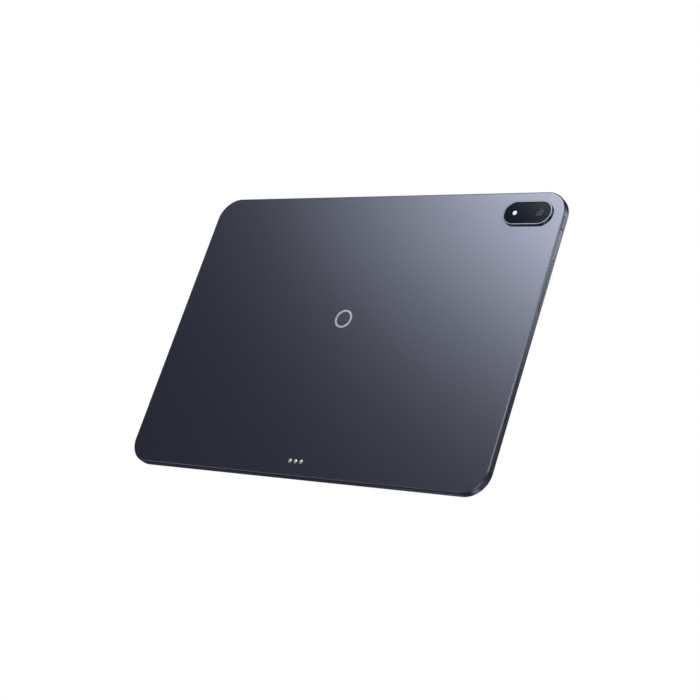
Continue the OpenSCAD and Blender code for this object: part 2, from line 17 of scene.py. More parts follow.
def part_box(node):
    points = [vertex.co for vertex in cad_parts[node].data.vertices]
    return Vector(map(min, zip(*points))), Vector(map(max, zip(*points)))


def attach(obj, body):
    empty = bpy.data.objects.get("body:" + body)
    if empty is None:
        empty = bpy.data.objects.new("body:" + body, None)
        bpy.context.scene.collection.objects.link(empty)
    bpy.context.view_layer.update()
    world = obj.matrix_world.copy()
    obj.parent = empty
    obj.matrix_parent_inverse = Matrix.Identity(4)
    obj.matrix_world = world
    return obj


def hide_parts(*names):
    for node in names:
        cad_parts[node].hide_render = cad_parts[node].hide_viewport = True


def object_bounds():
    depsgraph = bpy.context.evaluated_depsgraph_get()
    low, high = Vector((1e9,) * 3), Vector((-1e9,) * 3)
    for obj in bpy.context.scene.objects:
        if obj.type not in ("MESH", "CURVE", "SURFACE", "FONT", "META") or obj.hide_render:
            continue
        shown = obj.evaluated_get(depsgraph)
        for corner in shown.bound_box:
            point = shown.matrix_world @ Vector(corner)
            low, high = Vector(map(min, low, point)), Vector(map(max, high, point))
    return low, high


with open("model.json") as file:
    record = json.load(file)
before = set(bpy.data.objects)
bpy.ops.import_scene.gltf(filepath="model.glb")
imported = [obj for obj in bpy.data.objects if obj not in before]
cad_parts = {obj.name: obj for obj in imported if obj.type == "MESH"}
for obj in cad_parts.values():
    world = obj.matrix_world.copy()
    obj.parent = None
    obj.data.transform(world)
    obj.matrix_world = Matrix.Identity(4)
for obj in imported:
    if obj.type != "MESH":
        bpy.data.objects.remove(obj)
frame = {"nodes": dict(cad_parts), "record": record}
cad_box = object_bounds()
nodes = frame["nodes"]
MM = 0.001

# ---------------------------------------------------------------------------------------------
# Sizes, read from the frame where a node gives them
# ---------------------------------------------------------------------------------------------

body_lo, body_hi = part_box("rear_housing")
half_w, half_h = body_hi.x, body_hi.z
body_t = -body_lo.y
corner_r = 16.5 * MM
rear_round = 1.1 * MM
front_round = 0.7 * MM
side_wall = 2.3 * MM
rim = 1.05 * MM
rear_wall = -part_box("camera_ring")[0].y
plate_depth = -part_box("mid_plate")[1].y
hollow_w, hollow_h, hollow_r = half_w - side_wall, half_h - side_wall, corner_r - side_wall
pocket_w, pocket_h, pocket_r = half_w - rim, half_h - rim, corner_r - rim
fit_gap = 0.05 * MM
hair = 0.01 * MM


def middle(node):
    """Middle of a node's box."""
    lo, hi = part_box(node)
    return (lo + hi) / 2


def half(node):
    """Half sizes of a node's box."""
    lo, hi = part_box(node)
    return (hi - lo) / 2


island = middle("camera_ring")
island_half = half("camera_ring")
island_r = island_half.z
island_run = island_half.x - island_r
island_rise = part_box("camera_ring")[1].y
island_sink = 0.3 * MM
island_rim = 0.95 * MM
spigot_r = island_r - 1.2 * MM
throat_r = spigot_r - 0.8 * MM
window_lo, window_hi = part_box("camera_window")
window_r = island_r - island_rim
lens = middle("camera_lens")
lens_clear_r = 2.9 * MM
flash = middle("flash_lens")
flash_r = half("flash_lens").x
inlay = middle("ring_inlay")
inlay_r = half("ring_inlay").x
inlay_w = 1.5 * MM
inlay_t = -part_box("ring_inlay")[0].y
contacts = middle("dock_contacts")
contact_r = half("dock_contacts").z
contact_pitch = half("dock_contacts").x - contact_r
collar_r = contact_r + 0.35 * MM
hole_r = 0.65 * MM
hole_pitch = 2.48 * MM
hole_count = 15
speaker_off = middle("speaker_upper_left").z
port_depth = -middle("speaker_meshes").y
usb_depth = -middle("usb_shell").y
usb_r = half("usb_shell").y
usb_run = half("usb_shell").z - usb_r
mic_r = 0.45 * MM
boot_half = 1.3 * MM
mic_x = [middle("microphone_boots").x + s * (half("microphone_boots").x - boot_half)
         for s in (-1, 1)]
key_r = 1.15 * MM
key_gap = 0.12 * MM
key_depth = -middle("power_button").y
flange_end = 1.2 * MM
eye = middle("front_camera_lens")
eye_r = 1.5 * MM
screw_r = 0.55 * MM
screw_bore = 1.0 * MM
boss_r = 1.7 * MM
boss_spacing = 5 * MM    # no two bosses stand closer than this

ARC = 20          # steps round a corner of the body
ROUND = 10        # steps round an edge
HOLE = 24         # steps round a small hole
PILL = 24         # steps round each end of a pill
SOFT = 35         # degrees between two faces, up to which their edge is shaded smooth


# ---------------------------------------------------------------------------------------------
# Outlines: closed loops of points in a plane, as (n, 2) arrays that run anticlockwise
# ---------------------------------------------------------------------------------------------

def arc(centre, radius, start, end, steps):
    """Points centre + radius (cos a, sin a), with a running evenly from start to end degrees."""
    a = np.radians(np.linspace(start, end, steps + 1))
    return np.c_[centre[0] + radius * np.cos(a), centre[1] + radius * np.sin(a)]


def ring(centre, radius, steps=HOLE):
    """A circle's points."""
    return arc(centre, radius, 0, 360, steps)[:-1]


def corner_arcs(hw, hh, radius):
    """The four quarter circles of a round-cornered rectangle of half sizes hw and hh."""
    corners = ((1, 1, 0), (-1, 1, 90), (-1, -1, 180), (1, -1, 270))
    return [arc((sx * (hw - radius), sy * (hh - radius)), radius, a, a + 90, ARC)
            for sx, sy, a in corners]


def rounded(hw, hh, radius):
    """A rectangle of half sizes hw and hh whose corners are quarter circles."""
    return np.vstack(corner_arcs(hw, hh, radius))


def pill(centre, run, radius, steps=PILL):
    """Two half circles of one radius, joined by straight runs 2 * run long."""
    right = arc((run, 0), radius, -90, 90, steps)
    left = arc((-run, 0), radius, 90, 270, steps)
    return np.vstack([right, left]) + np.asarray(centre)


def rounding(radius, steps=ROUND):
    """A round edge, from the wall to the face, as (inset, drop below the face) pairs.

    They are r (1 - cos a) and r (1 - sin a), with a running evenly from 0 to 90 degrees.
    """
    return [(radius * (1 - math.cos(a)), radius * (1 - math.sin(a)))
            for a in np.radians(np.linspace(0, 90, steps + 1))]


def inside(points, loop):
    """Which points lie in a closed loop, by counting the edges that a line to +x crosses."""
    x, y = points[:, :1], points[:, 1:]
    a, b = loop, np.roll(loop, -1, axis=0)
    spans = (a[:, 1] > y) != (b[:, 1] > y)
    rise = np.where(b[:, 1] == a[:, 1], 1.0, b[:, 1] - a[:, 1])
    cross = a[:, 0] + (y - a[:, 1]) * (b[:, 0] - a[:, 0]) / rise
    return (spans & (x < cross)).sum(1) % 2 == 1


# ---------------------------------------------------------------------------------------------
# Surfaces: a Shell gathers patches and closes them into one mesh
# ---------------------------------------------------------------------------------------------

class Shell:
    """Patches of one piece. Loops meet point for point, so merging their doubles closes it."""

    def __init__(self, place=lambda p, d: np.c_[p[:, 0], -d, p[:, 1]]):
        self.points, self.faces, self.count = [], [], 0
        self.place = place

    def add(self, points, faces):
        """Keeps points and the faces that join them."""
        self.points.append(points)
        self.faces += (np.asarray(faces) + self.count).tolist()
        self.count += len(points)

    def loft(self, loops):
        """Quads between each closed loop of 3-D points and the next."""
        n = len(loops[0])
        i = np.arange(n)
        j = (i + 1) % n
        for k in range(len(loops) - 1):
            self.add(np.vstack([loops[k], loops[k + 1]]), np.c_[i, j, j + n, i + n])

    def stack(self, steps):
        """A loft through (outline, depth) pairs, each laid flat at its depth."""
        self.loft([self.place(o, np.full(len(o), float(d))) for o, d in steps])

    def flat(self, outer, holes, lay):
        """A flat area inside one loop and outside the others, as constrained triangles."""
        loops = [outer, *holes]
        points = np.vstack(loops)
        edges, start = [], 0
        for loop in loops:
            n = len(loop)
            edges += [(start + i, start + (i + 1) % n) for i in range(n)]
            start += n
        same = 1e-9
        made, _, faces, *_ = delaunay_2d_cdt([Vector(p) for p in points], edges, [], 1, same)
        made = np.array([tuple(v) for v in made])
        faces = np.array(faces)
        middles = made[faces].mean(1)
        keep = inside(middles, outer)
        for hole in holes:
            keep &= ~inside(middles, hole)
        self.add(lay(made), faces[keep])

    def level(self, outer, holes, depth):
        """A flat area at one depth below the rear face."""
        self.flat(outer, holes, lambda p: self.place(p, np.full(len(p), float(depth))))

    def mesh(self, name, merge=1e-7):
        """The finished object: doubles merged, faces turned outwards, soft edges smooth."""
        data = bpy.data.meshes.new(name)
        data.from_pydata(np.vstack(self.points).tolist(), [], self.faces)
        bm = bmesh.new()
        bm.from_mesh(data)
        bmesh.ops.remove_doubles(bm, verts=bm.verts, dist=merge)
        bmesh.ops.dissolve_degenerate(bm, edges=bm.edges, dist=merge)
        bmesh.ops.recalc_face_normals(bm, faces=bm.faces)
        open_edges = sum(1 for e in bm.edges if not e.is_manifold)
        bm.to_mesh(data)
        bm.free()
        if open_edges:
            print(f"{name}: {open_edges} edges are not closed")
        data.shade_smooth()
        data.set_sharp_from_angle(angle=math.radians(SOFT))
        made = bpy.data.objects.new(name, data)
        bpy.context.scene.collection.objects.link(made)
        weigh = made.modifiers.new("weighted normals", "WEIGHTED_NORMAL")
        weigh.keep_sharp = True
        return made


def lathe(name, centres, profile, steps=64):
    """A profile of (radius, height) points turned about an upright axis through each centre.

    Point (r, h) goes to (x + r cos a, h, z + r sin a). The first and last points have radius 0,
    and each closes its end.
    """
    shell = Shell(lambda p, h: np.c_[p[:, 0], h, p[:, 1]])
    for x, z in centres:
        shell.stack([(ring((x, z), r, steps), h) for r, h in profile])
    return shell.mesh(name)


def at_depth(outline, depth):
    """Lays a flat outline at a depth behind the rear face."""
    return np.c_[outline[:, 0], np.full(len(outline), -float(depth)), outline[:, 1]]


# ---------------------------------------------------------------------------------------------
# The housing
# ---------------------------------------------------------------------------------------------

# What is cut in a wall is drawn in the wall's own plane as (along, depth), where along is X on
# the long edges and Z on the short ones.
def on_side(side, off):
    """Lays (along, depth) points on the wall at +X or -X, off metres inside its face."""
    return lambda p: np.c_[np.full(len(p), side * (half_w - off)), -p[:, 1], p[:, 0]]


def on_edge(side, off):
    """Lays (along, depth) points on the wall at +Z or -Z, off metres inside its face."""
    return lambda p: np.c_[p[:, 0], -p[:, 1], np.full(len(p), side * (half_h - off))]


def speaker_centres():
    """(along, depth) of every speaker hole in a side wall."""
    run = (np.arange(hole_count) - (hole_count - 1) / 2) * hole_pitch
    return [(group * speaker_off + z, port_depth) for group in (-1, 1) for z in run]


def wall_holes():
    """For each of the four walls: its placing, its length and the outlines cut in it.

    An outline is a function of the amount that it is opened by, so that one hole can have a
    bevelled mouth.
    """
    def round_hole(centre, radius):
        return lambda grow: ring(centre, radius + grow)

    def slot(centre, run, radius):
        return lambda grow: pill(centre, run, radius + grow)

    left = [round_hole(c, hole_r) for c in speaker_centres()]
    right = [round_hole(c, hole_r) for c in speaker_centres()]
    left.append(slot((middle("power_button").z, key_depth),
                     half("power_button").z - flange_end - key_r, key_r + key_gap))
    right.append(slot((0, usb_depth), usb_run, usb_r + fit_gap))
    top = [round_hole((x, port_depth), mic_r) for x in mic_x]
    for key in ("volume_up_button", "volume_down_button"):
        top.append(slot((middle(key).x, key_depth),
                        half(key).x - flange_end - key_r, key_r + key_gap))
    return [(on_side, 1, half_h, hollow_h, right), (on_side, -1, half_h, hollow_h, left),
            (on_edge, 1, half_w, hollow_w, top), (on_edge, -1, half_w, hollow_w, [])]


def panel(length, radius, top, bottom):
    """The flat stretch of a wall between two round corners, as an (along, depth) outline."""
    run = length - radius
    return np.array([[run, top], [run, bottom], [-run, bottom], [-run, top]])


def corner_band(shell, hw, hh, radius, depths):
    """The four round corners of a wall: an arc's points, repeated at each depth."""
    for points in corner_arcs(hw, hh, radius):
        n = len(points)
        i = np.arange(n - 1)
        for top, bottom in zip(depths[:-1], depths[1:]):
            shell.add(np.vstack([at_depth(points, top), at_depth(points, bottom)]),
                      np.c_[i, i + 1, i + 1 + n, i + n])


def housing():
    """The machined body: outer skin, drilled walls, hollow, bosses and rear openings."""
    shell = Shell()
    mouth = 0.08 * MM
    edge = 0.06 * MM
    mouth_room = 3 * hair

    # Rear rounding, from the flat face out to the wall
    steps = reversed(rounding(rear_round))
    shell.stack([(rounded(half_w - i, half_h - i, corner_r - i), d) for i, d in steps])
    # Front rounding, from the wall to the rim, then the rim, the pocket and its ledge
    steps = [(i, body_t - d) for i, d in rounding(front_round)]
    steps += [(rim - edge, body_t), (rim, body_t - edge)]
    outlines = [(rounded(half_w - i, half_h - i, corner_r - i), d) for i, d in steps]
    outlines += [(rounded(pocket_w, pocket_h, pocket_r), plate_depth),
                 (rounded(hollow_w, hollow_h, hollow_r), plate_depth)]
    shell.stack(outlines)

    # Walls: round corners, then flat stretches with their holes
    wall_top, wall_bottom = rear_round, body_t - front_round
    corner_band(shell, half_w, half_h, corner_r, (wall_top, wall_bottom))
    corner_band(shell, hollow_w, hollow_h, hollow_r, (rear_wall, plate_depth))
    for lay, side, length, inner_length, holes in wall_holes():
        mouths, throats, ends = ([h(grow) for h in holes] for grow in (mouth, 0, 0))
        # Mouths stop just short of the rear rounding. The USB opening is taller than the hollow,
        # so its inner end is cut level with the ledge.
        for outer, inner in zip(mouths, ends):
            outer[:, 1] = np.maximum(outer[:, 1], wall_top + mouth_room)
            inner[:, 1] = np.minimum(inner[:, 1], plate_depth - mouth_room)
        shell.flat(panel(length, corner_r, wall_top, wall_bottom), mouths, lay(side, 0))
        shell.flat(panel(inner_length, hollow_r, rear_wall, plate_depth), ends,
                   lay(side, side_wall))
        for outer, throat, inner in zip(mouths, throats, ends):
            shell.loft([lay(side, 0)(outer), lay(side, mouth)(throat),
                        lay(side, side_wall)(inner)])

    # Rear face and the floor of the hollow, with their openings
    seat = pill((island.x, island.z), island_run, island_r + fit_gap)
    opening = pill((island.x, island.z), island_run, spigot_r + fit_gap)
    groove_out = ring((inlay.x, inlay.z), inlay_r + fit_gap, 96)
    groove_in = ring((inlay.x, inlay.z), inlay_r - inlay_w - fit_gap, 96)
    collars = [ring((contacts.x + k * contact_pitch, contacts.z), collar_r, 48)
               for k in (-1, 0, 1)]
    bosses = [ring(p, boss_r, 32) for p in boss_places()]
    rear = rounded(half_w - rear_round, half_h - rear_round, corner_r - rear_round)
    shell.level(rear, [seat, groove_out, *collars], 0)
    shell.level(groove_in, [], 0)
    floor = rounded(hollow_w, hollow_h, hollow_r)
    shell.level(floor, [opening, *collars, *bosses], rear_wall)
    shell.stack([(seat, 0), (seat, island_sink), (opening, island_sink), (opening, rear_wall)])
    shell.stack([(groove_out, 0), (groove_out, inlay_t), (groove_in, inlay_t), (groove_in, 0)])
    for c in collars:
        shell.stack([(c, 0), (c, rear_wall)])
    boss_top = -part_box("main_board")[1].y
    screw_end = boss_top - screw_bore
    for p in boss_places():
        bore = ring(p, screw_r, 32)
        shell.stack([(ring(p, boss_r, 32), rear_wall), (ring(p, boss_r, 32), boss_top),
                     (bore, boss_top), (bore, screw_end)])
        shell.level(bore, [], screw_end)
    return shell.mesh("housing_body")


def boss_places():
    """Where the six board screws stand, found from the screws' own points."""
    data = nodes["board_screws"].data
    co = np.zeros(len(data.vertices) * 3)
    data.vertices.foreach_get("co", co)
    co = co.reshape(-1, 3)[:, [0, 2]]
    places = []
    for p in co:
        if all(np.hypot(*(p - q)) > boss_spacing for q in places):
            places.append(p)
    spread = [co[np.hypot(*(co - q).T) < boss_spacing] for q in places]
    return [(s.min(0) + s.max(0)) / 2 for s in spread]


# ---------------------------------------------------------------------------------------------
# The other pieces
# ---------------------------------------------------------------------------------------------

def camera_rim():
    """The island's rim: one cross-section carried round a pill, with a soft outer shoulder."""
    shoulder = 0.3 * MM
    lip = 0.12 * MM
    steps = [(island_r, island_sink)]
    steps += [(island_r - i, d - island_rise) for i, d in rounding(shoulder)]
    steps += [(window_r + lip, -island_rise), (window_r, -island_rise + lip),
              (window_r, -window_lo.y), (throat_r, -window_lo.y), (throat_r, rear_wall),
              (spigot_r, rear_wall), (spigot_r, island_sink), (island_r, island_sink)]
    shell = Shell()
    shell.stack([(pill((island.x, island.z), island_run, r, 2 * PILL), d) for r, d in steps])
    return shell.mesh("camera_rim")


def camera_glass():
    """The island's window: a pill with a polished edge, open for the lens cover and the flash."""
    shell = Shell()
    top, back, edge = -window_hi.y, -window_lo.y, 0.12 * MM
    at = (island.x, island.z)

    def outline(inset):
        return pill(at, island_run, window_r - fit_gap - inset, 2 * PILL)

    holes = [ring((lens.x, lens.z), lens_clear_r, 64),
             ring((flash.x, flash.z), flash_r + fit_gap, 48)]
    shell.level(outline(edge), holes, top)
    shell.stack([(outline(i), top + d) for i, d in reversed(rounding(edge))]
                + [(outline(0), back)])
    shell.level(outline(0), holes, back)
    for hole in holes:
        shell.stack([(hole, top), (hole, back)])
    return shell.mesh("camera_glass")


def lens_cover():
    """The clear disc over the lens, level with the window."""
    top, back = window_hi.y, window_lo.y
    r = lens_clear_r - hair
    return lathe("lens_cover", [(lens.x, lens.z)], [(0, back), (r, back), (r, top), (0, top)], 96)


def front_lens():
    """The camera's first lens: a shallow dome, height h0 - r^2 / (2 R), on a straight edge."""
    lo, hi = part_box("camera_lens")
    r = half("camera_lens").x
    curve = 7.0 * MM
    radii = np.linspace(0, r, 14)
    dome = [(a, hi.y - a * a / (2 * curve)) for a in radii]
    return lathe("front_lens", [(lens.x, lens.z)], dome + [(r, lo.y), (0, lo.y)], 64)


def lens_barrel():
    """Turned steps round the front lens, each lower and narrower than the last."""
    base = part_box("camera_module")[1].y + hair
    outer, inner, steps = 3.65 * MM, 2.72 * MM, 4
    top, drop = window_lo.y - fit_gap, 0.07 * MM
    profile = [(outer, base), (outer, top)]
    for k in range(steps):
        r = outer - (outer - inner) * (k + 1) / (steps + 1)
        profile += [(r, top - k * drop), (r, top - (k + 1) * drop)]
    profile += [(inner, top - steps * drop), (inner, base), (outer, base)]
    shell = Shell(lambda p, h: np.c_[p[:, 0], h, p[:, 1]])
    shell.stack([(ring((lens.x, lens.z), r, 96), h) for r, h in profile])
    return shell.mesh("lens_barrel")


def flash_cover():
    """The flash's diffuser: a disc with low concentric ridges, as a flat lens has."""
    lo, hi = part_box("flash_lens")
    ridges, depth, crest = 5, 0.05 * MM, 0.01 * MM
    start, ridged_r = 0.15, flash_r * 0.86
    profile = [(0, hi.y - depth)]
    for k in range(ridges):
        a, b = ridged_r * (k + start) / ridges, ridged_r * (k + 1) / ridges
        profile += [(a, hi.y - depth), (b, hi.y - crest)]
    edge = 0.08 * MM
    profile += [(flash_r - edge, hi.y), (flash_r, hi.y - edge), (flash_r, lo.y), (0, lo.y)]
    return lathe("flash_cover", [(flash.x, flash.z)], profile, 64)


def ring_mark():
    """The plain ring let into the rear face: a flat band with broken edges."""
    outer, inner, edge = inlay_r, inlay_r - inlay_w, 0.07 * MM
    steps = [(outer, inlay_t), (outer, edge), (outer - edge, 0), (inner + edge, 0),
             (inner, edge), (inner, inlay_t), (outer, inlay_t)]
    shell = Shell()
    shell.stack([(ring((inlay.x, inlay.z), r, 128), d) for r, d in steps])
    return shell.mesh("ring_mark")


def dock_pins():
    """The dock contacts: domed heads, height h0 - c (r / R)^2, with a rounded edge, on pins."""
    edge, crown = 0.15 * MM, 0.16 * MM
    lo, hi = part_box("dock_contacts")
    flat_r = contact_r - edge
    head = [(r, hi.y - crown * (r / flat_r) ** 2) for r in np.linspace(0, flat_r, 8)]
    head += [(contact_r - i, hi.y - crown - d) for i, d in rounding(edge, 6)[-2::-1]]
    centres = [(contacts.x + k * contact_pitch, contacts.z) for k in (-1, 0, 1)]
    return lathe("dock_pins", centres, head + [(contact_r, lo.y), (0, lo.y)], 48)


def key(name, node, side):
    """A sprung key: rounded head, straight shank, retaining flange and the nub on its back.

    Its outlines are pills or circles of one count of points, each at a distance out from the
    wall's face, and the top of the head is crowned.
    """
    lo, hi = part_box(node)
    at, size = middle(node), half(node)
    if side == "x":
        along, length, proud, nub_end = at.z, size.z, -half_w - lo.x, -half_w - hi.x
    else:
        along, length, proud, nub_end = at.x, size.x, hi.z - half_h, lo.z - half_h
    run = length - flange_end - key_r
    centre = (along, key_depth)
    flange_out, flange_t, flange_r = -side_wall - fit_gap, 0.5 * MM, 1.35 * MM
    nub_r, edge, crown = 0.6 * MM, 0.3 * MM, 0.05 * MM

    def lay(outline, out):
        out = np.full(len(outline), float(out))
        if side == "x":
            return np.c_[-half_w - out, -outline[:, 1], outline[:, 0]]
        return np.c_[outline[:, 0], -outline[:, 1], half_h + out]

    steps = [(nub_r, 0, nub_end), (nub_r, 0, flange_out - flange_t),
             (flange_r, run + flange_end, flange_out - flange_t),
             (flange_r, run + flange_end, flange_out), (key_r, run, flange_out)]
    steps += [(key_r - i, run, proud - crown - d) for i, d in rounding(edge)]
    flat_r = key_r - edge
    steps += [(flat_r * t, run, proud - crown * t * t) for t in (0.75, 0.5, 0.25)]
    outlines = [pill(centre, reach, r) for r, reach, _ in steps]
    shell = Shell()
    shell.loft([lay(o, out) for o, (_, _, out) in zip(outlines, steps)])
    shell.flat(outlines[0], [], lambda p: lay(p, steps[0][2]))
    shell.flat(outlines[-1], [], lambda p: lay(p, steps[-1][2]))
    return shell.mesh(name)


def screen_glass():
    """The cover glass: a plate whose front edge is ground round, open for the front camera."""
    lo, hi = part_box("cover_glass")
    slack, edge = 0.1 * MM, 0.3 * MM
    w, h, r = hi.x, hi.z, pocket_r - slack
    back, front = -hi.y, -lo.y
    steps = [(0, back)] + [(i, front - d) for i, d in rounding(edge)]
    hole = ring((eye.x, eye.z), eye_r, 48)
    shell = Shell()
    outlines = [(rounded(w - i, h - i, r - i), d) for i, d in steps]
    shell.stack(outlines)
    shell.level(outlines[0][0], [hole], back)
    shell.level(outlines[-1][0], [hole], front)
    shell.stack([(hole, back), (hole, front)])
    return shell.mesh("screen_glass")


def eye_cover():
    """The clear spot in the screen's border over the front camera."""
    lo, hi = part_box("cover_glass")
    r = eye_r - hair
    return lathe("eye_cover", [(eye.x, eye.z)], [(0, lo.y), (r, lo.y), (r, hi.y), (0, hi.y)], 48)


def usb_sleeve():
    """The socket's drawn shell: a pill tube with a flared, rounded mouth."""
    lo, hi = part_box("usb_shell")
    sheet = 0.3 * MM
    lip = 0.1 * MM
    inner = usb_r - sheet
    section = [(usb_r, lo.x), (usb_r, hi.x - lip), (usb_r - lip, hi.x), (inner + lip, hi.x),
               (inner, hi.x - lip), (inner, lo.x), (usb_r, lo.x)]

    def loop(radius, x):
        outline = pill((0, usb_depth), usb_run, radius)
        return np.c_[np.full(len(outline), x), -outline[:, 1], outline[:, 0]]

    shell = Shell()
    shell.loft([loop(r, x) for r, x in section])
    return shell.mesh("usb_sleeve")


def usb_pads():
    """The twelve contacts on each face of the socket's tongue, as low gold bars."""
    half_t, half_pad, pad_l, pitch, count = 0.35 * MM, 0.13 * MM, 1.7 * MM, 0.5 * MM, 12
    sunk, proud, setback = 0.02 * MM, 0.04 * MM, 0.5 * MM
    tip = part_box("usb_tongue")[1].x - setback
    plan = ((tip - pad_l, -half_pad), (tip, -half_pad), (tip, half_pad), (tip - pad_l, half_pad))
    sides = [[0, 1, 2, 3], [4, 5, 6, 7], [0, 1, 5, 4], [1, 2, 6, 5], [2, 3, 7, 6], [3, 0, 4, 7]]
    shell = Shell()
    for face in (-1, 1):
        y = -usb_depth + face * half_t
        for k in range(count):
            z = (k - (count - 1) / 2) * pitch
            shell.add(np.array([[x, y + face * rise, z + w] for rise in (-sunk, proud)
                                for x, w in plan]), sides)
    return shell.mesh("usb_pads")


# ---------------------------------------------------------------------------------------------
# Finishes
# ---------------------------------------------------------------------------------------------

class Graph:
    """Places and joins the nodes of one material or group."""

    def __init__(self, tree):
        self.tree = tree

    def put(self, kind, inputs=None, **settings):
        """One node with its settings; an input is given by name or place."""
        made = self.tree.nodes.new(kind)
        for name, value in settings.items():
            setattr(made, name, value)
        for name, value in (inputs or {}).items():
            self.feed(made.inputs[name], value)
        return made

    def feed(self, socket, value):
        """Joins a socket to another one, or sets its value."""
        if isinstance(value, bpy.types.NodeSocket):
            self.tree.links.new(value, socket)
        else:
            socket.default_value = value

    def calc(self, operation, *values):
        """A sum's result."""
        return self.put("ShaderNodeMath", dict(enumerate(values)), operation=operation).outputs[0]

    def noise(self, vector, scale, detail=2.0):
        """Noise from 0 to 1, scale times a metre."""
        return self.put("ShaderNodeTexNoise", {"Vector": vector, "Scale": scale, "Detail": detail},
                        noise_dimensions="3D").outputs["Fac"]


def effect(name, inputs, outputs):
    """A node group with named sockets; inputs and outputs are (name, kind, value) rows."""
    tree = bpy.data.node_groups.new(name, "ShaderNodeTree")
    for way, rows in (("INPUT", inputs), ("OUTPUT", outputs)):
        for label, kind, value in rows:
            socket = tree.interface.new_socket(name=label, in_out=way,
                                               socket_type="NodeSocket" + kind)
            if value is not None:
                socket.default_value = value
    graph = Graph(tree)
    return graph, graph.put("NodeGroupInput").outputs, graph.put("NodeGroupOutput").inputs


def grain_effect():
    """Blasted or moulded grain: two scales of noise, as a height and a small change of gloss."""
    g, given, out = effect("fine grain", [("Vector", "Vector", None), ("Per Metre", "Float", 3000.0),
                                          ("Depth", "Float", 1e-6), ("Gloss Change", "Float", 0.05),
                                          ("Roughness", "Float", 0.4)],
                           [("Height", "Float", None), ("Roughness", "Float", None)])
    fine = g.noise(given["Vector"], given["Per Metre"], 3.0)
    broad = g.noise(given["Vector"], g.calc("DIVIDE", given["Per Metre"], 40.0), 2.0)
    g.feed(out["Height"], g.calc("MULTIPLY", fine, given["Depth"]))
    both = g.calc("ADD", g.calc("MULTIPLY", fine, 0.4), g.calc("MULTIPLY", broad, 0.6))
    change = g.calc("MULTIPLY", g.calc("SUBTRACT", both, 0.5), given["Gloss Change"])
    g.feed(out["Roughness"], g.calc("ADD", given["Roughness"], change))
    return g.tree


def tone_effect():
    """Slow drifts of tone over a surface: colour times 1 + amount (noise - 1/2)."""
    g, given, out = effect("slow tone", [("Vector", "Vector", None), ("Colour", "Color", None),
                                         ("Per Metre", "Float", 12.0), ("Amount", "Float", 0.1)],
                           [("Colour", "Color", None)])
    drift = g.calc("SUBTRACT", g.noise(given["Vector"], given["Per Metre"]), 0.5)
    gain = g.calc("MULTIPLY_ADD", drift, given["Amount"], 1.0)
    scaled = g.put("ShaderNodeVectorMath", {0: given["Colour"], "Scale": gain}, operation="SCALE")
    g.feed(out["Colour"], scaled.outputs["Vector"])
    return g.tree


def smudge_effect():
    """Faint wiped smears on polished glass: stretched noise above a level, as added roughness."""
    g, given, out = effect("wiped smears", [("Vector", "Vector", None), ("Roughness", "Float", 0.03),
                                            ("Amount", "Float", 0.05)],
                           [("Roughness", "Float", None)])
    drawn = g.put("ShaderNodeMapping", {"Vector": given["Vector"], "Rotation": (0.0, 0.6, 0.0),
                                        "Scale": (14.0, 14.0, 60.0)})
    smear = g.noise(drawn.outputs["Vector"], 1.0, 4.0)
    level = g.put("ShaderNodeMapRange", {"Value": smear, "From Min": 0.52, "From Max": 0.75})
    g.feed(out["Roughness"], g.calc("MULTIPLY_ADD", level.outputs["Result"], given["Amount"],
                                    given["Roughness"]))
    return g.tree


def turned_effect():
    """Fine turned or brushed lines: noise squeezed along one way, as a height."""
    g, given, out = effect("tool lines", [("Vector", "Vector", None), ("Squeeze", "Vector", None),
                                          ("Depth", "Float", 1e-6)],
                           [("Height", "Float", None)])
    drawn = g.put("ShaderNodeVectorMath", {0: given["Vector"], 1: given["Squeeze"]},
                  operation="MULTIPLY")
    lines = g.noise(drawn.outputs["Vector"], 1.0, 3.0)
    g.feed(out["Height"], g.calc("MULTIPLY", lines, given["Depth"]))
    return g.tree


effects = {"grain": grain_effect(), "tone": tone_effect(), "smears": smudge_effect(),
           "lines": turned_effect()}


